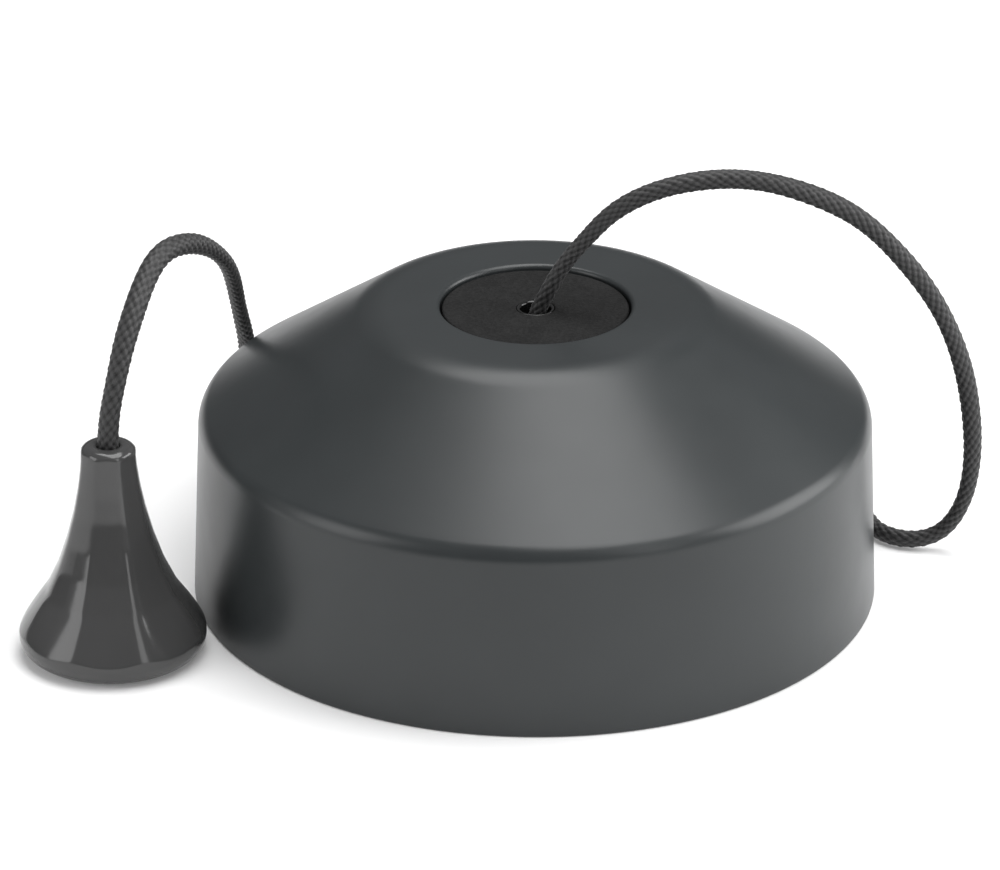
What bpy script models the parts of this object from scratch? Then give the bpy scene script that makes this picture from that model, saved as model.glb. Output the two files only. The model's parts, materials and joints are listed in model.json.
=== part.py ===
"""Ceiling pull-cord switch: domed metal cover, ratchet switch inside, braided cord and bell pull.

Metres, +Z up. The switch stands on its ceiling face with the cord side up, as it lies on a bench.
The origin is the centre of the ceiling face, and +Z points out of the ceiling, along the cord's exit.
"""

import math

import bmesh
import bpy
import numpy as np
from mathutils import Matrix, Vector

MM = 0.001
GAP = 0.3 * MM  # clearance between pieces that touch

# Cover: a turned metal shell with an upright wall, a cone and a flat top round the centre disc.
COVER_BASE_RADIUS = 44.0 * MM
COVER_SHOULDER = (43.07 * MM, 24.5 * MM)
COVER_TOP_CORNER_RADIUS = 21.2 * MM
COVER_HEIGHT = 39.13 * MM
COVER_HOLE_RADIUS = 12.2 * MM
COVER_LIP_DEPTH = 3.2 * MM
COVER_WALL = 1.2 * MM

# Back plate against the ceiling, with two fixing slots 50.8 mm apart and a cable entry.
PLATE_RADIUS = 41.4 * MM
PLATE_THICKNESS = 2.5 * MM
FIXING_SPACING = 50.8 * MM
FIXING_SLOT = (4.8 * MM, 9.0 * MM)
CABLE_ENTRY = (12.0 * MM, 18.0 * MM)
CABLE_ENTRY_Y = -27.0 * MM
HOUSING_SCREW_X = 15.0 * MM
HOUSING_SCREW_Y = -8.0 * MM
PLATE_TOP = PLATE_THICKNESS + GAP

# Switch housing: a box over the mechanism with a round neck that fills the cover's hole.
HOUSING_X = 11.9 * MM
HOUSING_Y = (-17.0 * MM, 15.5 * MM)
HOUSING_TOP = 25.0 * MM
HOUSING_WALL = 1.2 * MM
NECK_RADIUS = 11.6 * MM
NECK_BORE = 10.2 * MM
NECK_TOP = 36.6 * MM
NECK_ROOF = 35.0 * MM
DISC_RADIUS = 11.7 * MM
DISC_TOP = 38.6 * MM
BUSH_BORE = 2.3 * MM
BUSH_RADIUS = 2.95 * MM
BUSH_TOP = 38.85 * MM
BUSH_FLANGE = (4.3 * MM, 33.5 * MM, 34.7 * MM)

# The pull: the plunger rises 5 mm, and each pull turns the ratchet by one of its eight teeth.
TRAVEL = 5.0 * MM
TEETH = 8
PLUNGER_FLANGE = (6.5 * MM, 23.0 * MM, 24.4 * MM)
PLUNGER_STEM = (3.9 * MM, 28.2 * MM)
KNOT_POCKET = (2.9 * MM, 26.6 * MM)
SPRING_RADIUS = 5.2 * MM
SPRING_WIRE = 0.4 * MM
SPRING_TURNS = 5

# Ratchet wheel and cam turn on a shaft along X. The cam's four lobes tip the rocker at each step.
SHAFT_Y = -7.6 * MM
SHAFT_Z = 15.5 * MM
SHAFT_RADIUS = 1.5 * MM
RATCHET_RADIUS = 7.0 * MM
RATCHET_ROOT = 5.7 * MM
CAM_RADIUS = 4.4 * MM
CAM_LIFT = 0.7 * MM
CAM_X = 3.9 * MM
ROCKER_Y = 2.5 * MM
ROCKER_Z = 8.5 * MM
ROCKER_PIN_RADIUS = 1.0 * MM
FRAME_X = 10.4 * MM
FRAME_BASE_TOP = 4.2 * MM

# Terminals stand in a tray at the +Y side of the mechanism.
TERMINAL_PITCH = 8.6 * MM
TERMINAL_Y = 22.0 * MM
TERMINAL_SIZE = (6.0 * MM, 8.0 * MM, 7.5 * MM)
TERMINAL_BASE = 4.3 * MM
EARTH_XY = (22.5 * MM, 22.5 * MM)

# Cord and bell pull.
CORD_RADIUS = 1.25 * MM
CORD_POINT_SPACING = 5.4 * MM
BELL_XY = (-53.45 * MM, -19.9 * MM)
BELL_HEIGHT = 28.6 * MM
BELL_FACETS = 8
BELL_RIM_RADIUS = 11.9 * MM
BELL_BORE = 1.55 * MM
BELL_ROOF = 17.3 * MM
COIL_CENTRE = (0.0, 65.0 * MM)
COIL_MIDDLE_RADIUS = 15.0 * MM
COIL_PITCH = 2.55 * MM
COIL_COLUMNS = 3
COIL_LAYERS = 4

# The cord's route in millimetres: out of the bush, over to the right, and round behind the cover.
LEAD_ROUTE = [
    (0, 0, 36.3), (0.3, 0, 38.0), (1.45, -0.15, 40.6), (3.4, 0.2, 44.1), (6.3, 0.6, 47.7),
    (9.3, 1.0, 50.8), (13.7, 1.5, 53.4), (19.6, 2.1, 54.95), (27.2, 2.8, 54.95), (34.3, 3.5, 52.9),
    (40.8, 4.2, 49.3), (46.4, 5.0, 43.7), (51.3, 5.8, 36.7), (54.7, 6.4, 28.7), (56.5, 7.0, 19.6),
    (56.6, 7.8, 11.3), (55.1, 8.4, 5.6), (52.9, 8.8, 2.7), (50.2, 9.1, 1.55), (47.6, 9.9, 1.32),
    (45.2, 12.2, 1.3), (43.9, 16.0, 1.3), (41.3, 22.6, 1.3), (34.6, 32.4, 1.3), (26.6, 42.2, 1.3),
    (20.3, 51.5, 1.3), (17.8, 59.5, 1.3), (17.55, 65.0, 1.3),
]
# The rest of the route: off the top of the coil, up behind the cover's left side and into the bell.
TAIL_ROUTE = [
    (-17.55, 65, 8.95), (-18.2, 59.8, 8.3), (-20.6, 54.8, 5.6), (-25.2, 50.6, 2.4),
    (-30.6, 48.2, 1.4), (-35.3, 45.2, 2.0), (-37.8, 40.4, 5.4), (-38.3, 35.4, 11.0),
    (-38.1, 30.4, 16.9), (-38.0, 25.6, 22.7), (-38.5, 20.8, 28.7), (-38.9, 16.0, 34.3),
    (-39.7, 10.5, 40.1), (-41.8, 4.5, 44.9), (-44.4, -1.0, 47.7), (-47.2, -6.0, 48.2),
    (-48.9, -9.8, 46.5), (-50.1, -13.2, 44.1), (-51.3, -16.1, 40.8), (-52.35, -18.4, 36.6),
    (-53.15, -19.6, 32.5), (-53.45, -19.9, 28.8), (-53.45, -19.9, 23.0), (-53.45, -19.9, 17.3),
]

# Colour, roughness and metallic value of each finish.
FINISHES = {
    "anthracite_paint": ((0.076, 0.085, 0.088), 0.42, 0.3),
    "black_moulding": ((0.02, 0.02, 0.021), 0.75, 0.0),
    "gloss_black": ((0.012, 0.012, 0.013), 0.15, 0.0),
    "grey_moulding": ((0.3, 0.31, 0.32), 0.5, 0.0),
    "gloss_grey": ((0.06, 0.06, 0.062), 0.12, 0.0),
    "acetal_white": ((0.75, 0.74, 0.7), 0.4, 0.0),
    "spring_steel": ((0.55, 0.55, 0.56), 0.3, 1.0),
    "brass": ((0.72, 0.52, 0.22), 0.3, 1.0),
    "silver_contact": ((0.85, 0.85, 0.83), 0.25, 1.0),
    "copper_strip": ((0.75, 0.42, 0.26), 0.35, 1.0),
    "zinc_screw": ((0.66, 0.66, 0.62), 0.35, 1.0),
    "charcoal_braid": ((0.025, 0.024, 0.025), 0.8, 0.0),
}


def clear_scene():
    for obj in list(bpy.data.objects):
        bpy.data.objects.remove(obj, do_unlink=True)


def make_collection(name):
    collection = bpy.data.collections.new(name)
    bpy.context.scene.collection.children.link(collection)
    return collection


def give_material(obj, finish):
    colour, roughness, metallic = FINISHES[finish]
    made = bpy.data.materials.new(obj.name)
    made.use_nodes = True
    shader = made.node_tree.nodes["Principled BSDF"]
    shader.inputs["Base Color"].default_value = (*colour, 1.0)
    shader.inputs["Roughness"].default_value = roughness
    shader.inputs["Metallic"].default_value = metallic
    obj.data.materials.append(made)


def add_object(name, data, finish, location=(0, 0, 0), rotation=(0, 0, 0)):
    """Adds a part, or a cutter where finish is None."""
    obj = bpy.data.objects.new(name, data)
    obj.location = location
    obj.rotation_euler = rotation
    if finish is None:
        cutters.objects.link(obj)
        obj.hide_render = True
        obj.display_type = "WIRE"
    else:
        parts.objects.link(obj)
        give_material(obj, finish)
    return obj


def mesh_from(bm, name, sharp_degrees=35):
    mesh = bpy.data.meshes.new(name)
    bm.to_mesh(mesh)
    bm.free()
    mesh.shade_smooth()
    mesh.set_sharp_from_angle(angle=math.radians(sharp_degrees))
    return mesh


def box(name, low, high, finish=None):
    """A box between two corners."""
    low, high = Vector(low), Vector(high)
    bm = bmesh.new()
    bmesh.ops.create_cube(bm, size=1.0)
    bmesh.ops.scale(bm, vec=high - low, verts=bm.verts)
    return add_object(name, mesh_from(bm, name), finish, (low + high) / 2)


AXIS_ROTATION = {"X": (0, math.pi / 2, 0), "Y": (math.pi / 2, 0, 0), "Z": (0, 0, 0)}


def cylinder(name, radius, length, centre, axis="Z", finish=None, segments=24):
    bm = bmesh.new()
    bmesh.ops.create_cone(
        bm, cap_ends=True, segments=segments, radius1=radius, radius2=radius, depth=length
    )
    return add_object(name, mesh_from(bm, name), finish, centre, AXIS_ROTATION[axis])


def capsule_cutter(name, width, length, height, centre, turn=0.0, segments=24):
    """A slot's cutter: a cylinder whose two halves are pulled apart along its own Y."""
    bm = bmesh.new()
    bmesh.ops.create_cone(
        bm, cap_ends=True, segments=segments, radius1=width / 2, radius2=width / 2, depth=height
    )
    half_step = math.pi / segments
    bmesh.ops.rotate(bm, cent=(0, 0, 0), matrix=Matrix.Rotation(half_step, 3, "Z"), verts=bm.verts)
    for vertex in bm.verts:
        vertex.co.y += math.copysign((length - width) / 2, vertex.co.y)
    return add_object(name, mesh_from(bm, name), None, centre, (0, 0, turn))


def egg(name, radius, half_height, centre, finish):
    """A knot pulled tight: a ball, flattened a little along the cord."""
    bm = bmesh.new()
    bmesh.ops.create_uvsphere(bm, u_segments=16, v_segments=10, radius=radius)
    bmesh.ops.scale(bm, vec=(1, 1, half_height / radius), verts=bm.verts)
    return add_object(name, mesh_from(bm, name, 80), finish, centre)


def rounded(corners, steps=4):
    """The outline through corners given as (x, y) or (x, y, fillet radius)."""
    outline = []
    for i, corner in enumerate(corners):
        here = Vector(corner[:2])
        if len(corner) == 2:
            outline.append(tuple(here))
            continue
        before = Vector(corners[i - 1][:2]) - here
        after = Vector(corners[(i + 1) % len(corners)][:2]) - here
        before.normalize()
        after.normalize()
        half = before.angle(after) / 2
        reach = corner[2] / math.tan(half)
        middle = here + (before + after).normalized() * corner[2] / math.sin(half)
        start = here + before * reach - middle
        turn = math.atan2(before.x * after.y - before.y * after.x, -before.dot(after))
        for k in range(steps + 1):
            angle = -turn * k / steps
            cos, sin = math.cos(angle), math.sin(angle)
            arm = Vector((start.x * cos - start.y * sin, start.x * sin + start.y * cos))
            outline.append(tuple(middle + arm))
    return outline


def turned(name, outline, finish=None, steps=32, closed=True, centre=(0, 0, 0), turn=0.0):
    """A turned piece. The outline holds (radius, height) and runs down the outer side."""
    mesh = bpy.data.meshes.new(name)
    count = len(outline)
    edges = [(i, i + 1) for i in range(count - 1)]
    if closed:
        edges.append((count - 1, 0))
    mesh.from_pydata([(r, 0, z) for r, z in outline], edges, [])
    obj = add_object(name, mesh, finish, centre, (0, 0, turn))
    screw = obj.modifiers.new("Turn", "SCREW")
    screw.steps = steps
    screw.render_steps = steps
    screw.use_merge_vertices = True
    screw.merge_threshold = 0.00001
    screw.use_smooth_shade = True
    return obj


PLANE_ROTATION = {
    "XY": (0, 0, 0),
    "XZ": (math.pi / 2, 0, 0),
    "YZ": (math.pi / 2, 0, math.pi / 2),
}


def plate(name, outlines, thickness, centre, plane, finish):
    """A flat piece cut from sheet: the first outline is its edge, and the others are holes."""
    curve = bpy.data.curves.new(name, "CURVE")
    curve.dimensions = "2D"
    curve.fill_mode = "BOTH"
    curve.extrude = thickness / 2
    for outline in outlines:
        spline = curve.splines.new("POLY")
        spline.points.add(len(outline) - 1)
        for point, place in zip(spline.points, outline):
            point.co = (*place, 0, 1)
        spline.use_cyclic_u = True
    return add_object(name, curve, finish, centre, PLANE_ROTATION[plane])


def tube(name, points, radius, finish, resolution=2):
    """A round bar along points, with closed ends."""
    curve = bpy.data.curves.new(name, "CURVE")
    curve.dimensions = "3D"
    curve.bevel_depth = radius
    curve.bevel_resolution = resolution
    curve.use_fill_caps = True
    spline = curve.splines.new("POLY")
    spline.points.add(len(points) - 1)
    for point, place in zip(spline.points, points):
        point.co = (*place, 1)
    return add_object(name, curve, finish)


def combine(obj, other, operation):
    """Adds, cuts or intersects obj with other, which is a cutter."""
    step = obj.modifiers.new(other.name, "BOOLEAN")
    step.operation = operation
    step.solver = "EXACT"
    step.object = other


def cut(obj, *others):
    for other in others:
        combine(obj, other, "DIFFERENCE")


def join(obj, *others):
    for other in others:
        combine(obj, other, "UNION")


def circle(radius, centre=(0, 0), count=20):
    angles = [2 * math.pi * k / count for k in range(count)]
    return [(centre[0] + radius * math.cos(a), centre[1] + radius * math.sin(a)) for a in angles]


def in_mm(*points):
    """Points or corners written in millimetres, in metres."""
    return [tuple(value * MM for value in point) for point in points]


def move_with(empty_name, location, pieces):
    """Parents the pieces of a moving body to an empty on its joint's axis."""
    empty = bpy.data.objects.new(empty_name, None)
    parts.objects.link(empty)
    empty.location = location
    for piece in pieces:
        piece.location = piece.location - Vector(location)
        piece.parent = empty


# ---------------------------------------------------------------- casing


def make_cover():
    lip_low = COVER_HEIGHT - COVER_LIP_DEPTH
    outline = rounded(
        [
            (COVER_HOLE_RADIUS, lip_low),
            (COVER_HOLE_RADIUS, COVER_HEIGHT, 0.6 * MM),
            (COVER_TOP_CORNER_RADIUS, COVER_HEIGHT, 8.0 * MM),
            (*COVER_SHOULDER, 2.9 * MM),
            (COVER_BASE_RADIUS, 0),
        ]
    )
    cover = turned("cover", outline, "anthracite_paint", steps=56, closed=False)
    shell = cover.modifiers.new("Wall", "SOLIDIFY")
    shell.thickness = COVER_WALL
    shell.offset = -1
    shell.use_even_offset = True


def make_locking_ring():
    """The ring pressed into the cover. Its three ramps hook under the back plate's lugs."""
    outline = in_mm((42.2, 8.0), (42.2, 4.0), (39.9, 4.0), (39.9, 8.0))
    ring = turned("locking_ring", outline, "black_moulding", steps=48)
    for k in range(3):
        angle = math.radians(60 + 120 * k)
        ramp = box(f"ring_ramp_{k}", *in_mm((38.2, -5.0, 4.6), (40.8, 5.0, 6.4)))
        turn_round_z(ramp, angle)
        join(ring, ramp)


def turn_round_z(obj, angle):
    """Carries an object round the Z axis, and turns it by the same angle."""
    x, y, z = obj.location
    cos, sin = math.cos(angle), math.sin(angle)
    obj.location = (x * cos - y * sin, x * sin + y * cos, z)
    obj.rotation_euler.z += angle


def make_back_plate():
    outline = rounded(
        [(0, PLATE_THICKNESS), (PLATE_RADIUS, PLATE_THICKNESS, 0.4 * MM), (PLATE_RADIUS, 0), (0, 0)],
        steps=2,
    )
    back_plate = turned("back_plate", outline, "black_moulding", steps=48, closed=False)
    for k in range(3):
        lug = box(f"plate_lug_{k}", *in_mm((36.6, -5.0, 1.5), (39.3, 5.0, 8.4)))
        turn_round_z(lug, math.radians(90 + 120 * k))
        join(back_plate, lug)
    height = 10 * MM
    entry = capsule_cutter(
        "cable_entry_cutter", *CABLE_ENTRY, height, (0, CABLE_ENTRY_Y, 0), turn=math.pi / 2
    )
    cut(back_plate, entry)
    for side in (-1, 1):
        slot_x = side * FIXING_SPACING / 2
        slot = capsule_cutter(f"fixing_slot_cutter_{side}", *FIXING_SLOT, height, (slot_x, 0, 0))
        hole_place = (side * HOUSING_SCREW_X, HOUSING_SCREW_Y, 0)
        hole = cylinder(f"plate_hole_cutter_{side}", 1.8 * MM, height, hole_place)
        cut(back_plate, slot, hole)


def make_switch_housing():
    low_y, high_y = HOUSING_Y
    housing = box(
        "switch_housing",
        (-HOUSING_X, low_y, PLATE_TOP),
        (HOUSING_X, high_y, HOUSING_TOP),
        "black_moulding",
    )
    neck_low = HOUSING_TOP - 5 * MM
    neck = cylinder(
        "neck_body",
        NECK_RADIUS,
        NECK_TOP - neck_low,
        (0, 0, (NECK_TOP + neck_low) / 2),
        segments=40,
    )
    join(housing, neck)
    for side in (-1, 1):
        near, far = sorted((side * 11.2 * MM, side * 18.2 * MM))
        ear = box(
            f"housing_ear_{side}",
            (near, HOUSING_SCREW_Y - 3.2 * MM, PLATE_TOP + 0.1 * MM),
            (far, HOUSING_SCREW_Y + 3.2 * MM, PLATE_TOP + 2.5 * MM),
        )
        ear_hole_place = (side * HOUSING_SCREW_X, HOUSING_SCREW_Y, 4 * MM)
        ear_hole = cylinder(f"ear_hole_cutter_{side}", 1.8 * MM, 8 * MM, ear_hole_place)
        join(housing, ear)
        cut(housing, ear_hole)
    inside = HOUSING_X - HOUSING_WALL
    cavity = box(
        "cavity_cutter",
        (-inside, low_y + HOUSING_WALL, 0),
        (inside, high_y - HOUSING_WALL, HOUSING_TOP - HOUSING_WALL),
    )
    bore_low = neck_low
    bore = cylinder(
        "neck_bore_cutter",
        NECK_BORE,
        NECK_ROOF - bore_low,
        (0, 0, (NECK_ROOF + bore_low) / 2),
        segments=36,
    )
    hole = cylinder("bush_hole_cutter", BUSH_RADIUS + GAP, 6 * MM, (0, 0, NECK_TOP))
    window = box("strip_window_cutter", *in_mm((-9.3, 12.0, 0), (9.3, 17.0, 12.0)))
    cut(housing, cavity, bore, hole, window)


def make_centre_disc():
    inner = BUSH_RADIUS + GAP
    low = NECK_TOP + GAP
    outline = rounded(
        [(inner, DISC_TOP), (DISC_RADIUS, DISC_TOP, 0.3 * MM), (DISC_RADIUS, low), (inner, low)],
        steps=2,
    )
    turned("centre_disc", outline, "black_moulding", steps=40)


def make_cord_bush():
    flange_radius, flange_low, flange_top = BUSH_FLANGE
    outline = rounded(
        [
            (BUSH_BORE, BUSH_TOP, 0.4 * MM),
            (BUSH_RADIUS, BUSH_TOP, 0.2 * MM),
            (BUSH_RADIUS, flange_top),
            (flange_radius, flange_top),
            (flange_radius, flange_low),
            (BUSH_BORE, flange_low, 0.4 * MM),
        ],
        steps=3,
    )
    turned("cord_bush", outline, "gloss_black", steps=28)


def make_screw(name, x, y, seat, shank_radius, shank_low, head_radius, head_height=1.8 * MM):
    """A slotted cheese-head screw, head up, whose head sits at height seat."""
    top = seat + head_height
    outline = [
        (0, top),
        (head_radius, top),
        (head_radius, seat),
        (shank_radius, seat),
        (shank_radius, shank_low),
        (0, shank_low),
    ]
    screw = turned(name, outline, "zinc_screw", steps=16, closed=False, centre=(x, y, 0))
    slot = box(
        f"{name}_slot_cutter",
        (x - 2 * head_radius, y - 0.35 * MM, top - 0.8 * MM),
        (x + 2 * head_radius, y + 0.35 * MM, top + 1 * MM),
    )
    cut(screw, slot)


def make_housing_screws():
    seat = PLATE_TOP + 2.5 * MM + GAP
    for side, name in ((-1, "housing_screw_left"), (1, "housing_screw_right")):
        make_screw(
            name, side * HOUSING_SCREW_X, HOUSING_SCREW_Y, seat, 1.5 * MM, 0.5 * MM, 2.9 * MM
        )


# ---------------------------------------------------------------- mechanism


def make_mechanism_frame():
    """The cradle that carries the shaft and the rocker's pin between two cheeks."""
    frame = box(
        "mechanism_frame",
        (-FRAME_X, -15.5 * MM, PLATE_TOP),
        (FRAME_X, 14.0 * MM, FRAME_BASE_TOP),
        "grey_moulding",
    )
    for side in (-1, 1):
        near, far = sorted((side * (FRAME_X - 1.2 * MM), side * (FRAME_X - 0.1 * MM)))
        cheek = box(f"frame_cheek_{side}", (near, -15.2 * MM, 3.2 * MM), (far, 6.5 * MM, 20.0 * MM))
        join(frame, cheek)
    width = 3 * FRAME_X
    shaft_place = (0, SHAFT_Y, SHAFT_Z)
    shaft_hole = cylinder("shaft_hole_cutter", SHAFT_RADIUS + GAP, width, shaft_place, "X")
    pin_place = (0, ROCKER_Y, ROCKER_Z)
    pin_hole = cylinder("pin_hole_cutter", ROCKER_PIN_RADIUS + GAP, width, pin_place, "X")
    cut(frame, shaft_hole, pin_hole)


def make_plunger():
    flange_radius, flange_low, flange_top = PLUNGER_FLANGE
    stem_radius, stem_top = PLUNGER_STEM
    pocket_radius, pocket_top = KNOT_POCKET
    bore = CORD_RADIUS + GAP
    outline = rounded(
        [
            (bore, stem_top),
            (stem_radius, stem_top, 0.4 * MM),
            (stem_radius, flange_top),
            (flange_radius, flange_top),
            (flange_radius, flange_low),
            (pocket_radius, flange_low),
            (pocket_radius, pocket_top),
            (bore, pocket_top),
        ],
        steps=2,
    )
    return turned("cord_plunger", outline, "acetal_white", steps=28)


def make_inner_cord():
    """The cord's end inside the switch: a knot in the plunger's pocket and the run to the bush."""
    pocket_top = KNOT_POCKET[1]
    middle = (pocket_top + PLUNGER_FLANGE[1]) / 2
    knot = egg("inner_knot", 2.5 * MM, 1.5 * MM, (0, 0, middle), "charcoal_braid")
    start = pocket_top + 0.05 * MM
    end = LEAD_ROUTE[0][2] * MM - GAP
    stub = cylinder(
        "cord_stub",
        CORD_RADIUS,
        end - start,
        (0, 0, (start + end) / 2),
        finish="charcoal_braid",
        segments=16,
    )
    return [knot, stub]


def make_plunger_spring():
    low = PLUNGER_FLANGE[2] + GAP + SPRING_WIRE
    high = NECK_ROOF - GAP - SPRING_WIRE
    steps = 12 * SPRING_TURNS
    points = []
    for k in range(steps + 1):
        angle = 2 * math.pi * k / 12
        height = low + (high - low) * k / steps
        points.append((SPRING_RADIUS * math.cos(angle), SPRING_RADIUS * math.sin(angle), height))
    tube("plunger_spring", points, SPRING_WIRE, "spring_steel", resolution=1)


def make_drive_pawl():
    """The hook under the plunger that lifts one ratchet tooth at each pull."""
    outline = in_mm(
        (-3.0, 22.7), (-3.0, 21.9), (-0.25, 21.2), (-0.25, 12.5), (-1.5, 12.5), (-1.5, 11.6),
        (-0.3, 10.7), (1.6, 10.7), (1.6, 20.8), (3.5, 21.7), (3.5, 22.7),
    )
    return plate("drive_pawl", [outline], 2.6 * MM, (0, 0, 0), "YZ", "acetal_white")


def make_holding_pawl():
    """A leaf on the frame that keeps the ratchet from turning back."""
    outline = in_mm(
        (-15.35, 4.5), (-14.95, 4.5), (-14.95, 18.5), (-13.6, 21.6), (-13.9, 21.9), (-15.35, 18.7)
    )
    plate("holding_pawl", [outline], 2.8 * MM, (0, 0, 0), "YZ", "spring_steel")


def make_ratchet():
    """Wheel, cam and shaft, which turn together by one tooth at each pull."""
    pitch = 2 * math.pi / TEETH
    teeth = []
    for k in range(TEETH):
        face = (k - 0.5) * pitch
        teeth.append((RATCHET_ROOT * math.cos(face), RATCHET_ROOT * math.sin(face)))
        for step in range(4):
            angle = face + pitch * step / 4
            radius = RATCHET_RADIUS + (RATCHET_ROOT - RATCHET_RADIUS) * step / 4
            teeth.append((radius * math.cos(angle), radius * math.sin(angle)))
    lobes = []
    for k in range(48):
        angle = 2 * math.pi * k / 48
        radius = CAM_RADIUS + CAM_LIFT * math.cos(TEETH / 2 * angle)
        lobes.append((radius * math.cos(angle), radius * math.sin(angle)))
    bore = circle(SHAFT_RADIUS + GAP)
    place = (0, SHAFT_Y, SHAFT_Z)
    cam_place = (CAM_X, SHAFT_Y, SHAFT_Z)
    wheel = plate("ratchet_wheel", [teeth, bore], 3.2 * MM, place, "YZ", "acetal_white")
    cam = plate("contact_cam", [lobes, bore], 3.0 * MM, cam_place, "YZ", "grey_moulding")
    shaft = cylinder(
        "ratchet_shaft", SHAFT_RADIUS, 2 * FRAME_X, place, "X", "zinc_screw", segments=20
    )
    return [wheel, cam, shaft]


def make_rocker():
    """The contact arm: a nose under the cam, a boss on the pin and a contact at its end."""
    boss = 2.3 * MM
    half = 0.7 * MM
    start = math.asin(half / boss)
    nose_y = SHAFT_Y - ROCKER_Y
    nose = 0.8 * MM
    nose_base = half
    outline = [(nose_y - 2.2 * MM, -half)]
    for k in range(9):
        angle = math.pi + start + (math.pi - 2 * start) * k / 8
        outline.append((boss * math.cos(angle), boss * math.sin(angle)))
    outline += [(9.9 * MM, -half), (9.9 * MM, half)]
    for k in range(9):
        angle = start + (math.pi - 2 * start) * k / 8
        outline.append((boss * math.cos(angle), boss * math.sin(angle)))
    for k in range(9):
        angle = math.pi * k / 8
        outline.append((nose_y + nose * math.cos(angle), nose_base + nose * math.sin(angle)))
    outline.append((nose_y - 2.2 * MM, half))
    hole = circle(ROCKER_PIN_RADIUS + GAP)
    place = (CAM_X, ROCKER_Y, ROCKER_Z)
    arm = plate("contact_rocker", [outline, hole], 3.4 * MM, place, "YZ", "copper_strip")
    tip = in_mm(
        (7.0, 1.8), (7.0, 1.0), (10.2, 1.0), (10.2, -1.0), (7.0, -1.0), (7.0, -1.6),
        (10.9, -1.6), (10.9, 1.8),
    )
    contact = plate("moving_contact", [tip], 3.0 * MM, place, "YZ", "silver_contact")
    return [arm, contact]


def make_rocker_fittings():
    """The rocker's pin, and the small spring that holds its nose against the cam."""
    cylinder(
        "rocker_pin",
        ROCKER_PIN_RADIUS,
        2 * FRAME_X,
        (0, ROCKER_Y, ROCKER_Z),
        "X",
        "zinc_screw",
        segments=16,
    )
    wire = 0.25 * MM
    radius = 1.3 * MM
    low = FRAME_BASE_TOP + GAP + wire
    high = ROCKER_Z - 0.7 * MM - GAP - wire
    turns = 3
    points = []
    for k in range(10 * turns + 1):
        angle = 2 * math.pi * k / 10
        height = low + (high - low) * k / (10 * turns)
        x = CAM_X + radius * math.cos(angle)
        points.append((x, SHAFT_Y + radius * math.sin(angle), height))
    tube("rocker_spring", points, wire, "spring_steel", resolution=1)


def make_contact_strips():
    """Flat strips from the three terminals to the two fixed contacts and the rocker's pin."""
    lower = in_mm(
        (2.4, 9.6), (5.4, 9.6), (5.4, 13.0), (8.9, 13.0), (8.9, 17.7), (7.0, 17.7), (7.0, 14.6),
        (2.4, 14.6),
    )
    upper = in_mm(
        (2.4, 9.6), (5.4, 9.6), (5.4, 12.5), (1.6, 16.0), (1.6, 17.7), (-1.6, 17.7), (-1.6, 15.0),
        (2.4, 11.6),
    )
    common = in_mm((-8.9, 3.8), (-6.0, 3.8), (-6.0, 17.7), (-8.9, 17.7))
    strip = 0.6 * MM
    plate("fixed_contact_one", [lower], strip, (0, 0, 4.9 * MM), "XY", "copper_strip")
    plate("fixed_contact_two", [upper], strip, (0, 0, 10.9 * MM), "XY", "copper_strip")
    plate("common_strip", [common], strip, (0, 0, 8.9 * MM), "XY", "copper_strip")


def make_terminal(name, x, y, wire_axis):
    """A brass block with a wire hole and a clamping screw's hole from its top."""
    width, depth, height = TERMINAL_SIZE
    low = (x - width / 2, y - depth / 2, TERMINAL_BASE)
    high = (x + width / 2, y + depth / 2, TERMINAL_BASE + height)
    block = box(name, low, high, "brass")
    wire_height = TERMINAL_BASE + 2.4 * MM
    wire_hole = cylinder(
        f"{name}_wire_cutter", 1.6 * MM, 3 * depth, (x, y, wire_height), wire_axis, segments=16
    )
    screw_hole = cylinder(
        f"{name}_screw_cutter", 1.75 * MM, 6 * MM, (x, y, wire_height + 5 * MM), segments=16
    )
    cut(block, wire_hole, screw_hole)
    make_screw(
        name.replace("terminal", "terminal_screw"),
        x,
        y,
        TERMINAL_BASE + height + GAP,
        1.4 * MM,
        wire_height + 2.2 * MM,
        2.4 * MM,
    )


def make_terminals():
    names = ("common", "two", "one")
    for k, name in enumerate(names):
        make_terminal(f"terminal_{name}", (k - 1) * TERMINAL_PITCH, TERMINAL_Y, "Y")
    make_terminal("terminal_earth", *EARTH_XY, "X")
    strap = in_mm((25.8, 9.0), (34.0, 9.0), (34.0, 14.0), (33.4, 14.0), (33.4, 9.6), (25.8, 9.6))
    plate("earth_strap", [strap], 4.0 * MM, (0, EARTH_XY[1], 0), "XZ", "copper_strip")


def make_terminal_tray():
    """The moulded tray with a pocket for each terminal and a notch for each wire."""
    width, depth, _ = TERMINAL_SIZE
    tray = box(
        "terminal_tray", *in_mm((-13.6, 16.2, 2.8), (13.6, 28.0, 8.3)), "grey_moulding"
    )
    for k in range(3):
        x = (k - 1) * TERMINAL_PITCH
        pocket = box(
            f"tray_pocket_cutter_{k}",
            (x - width / 2 - GAP, TERMINAL_Y - depth / 2 - GAP, TERMINAL_BASE - GAP),
            (x + width / 2 + GAP, TERMINAL_Y + depth / 2 + GAP, 12 * MM),
        )
        notch = box(
            f"tray_notch_cutter_{k}",
            (x - 2 * MM, TERMINAL_Y, 4.8 * MM),
            (x + 2 * MM, 30 * MM, 12 * MM),
        )
        cut(tray, pocket, notch)
    strip_notch = box("tray_strip_cutter", *in_mm((6.7, 15.0, 4.3), (9.2, 20.0, 12.0)))
    cut(tray, strip_notch)


# ---------------------------------------------------------------- cord and bell


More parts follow.
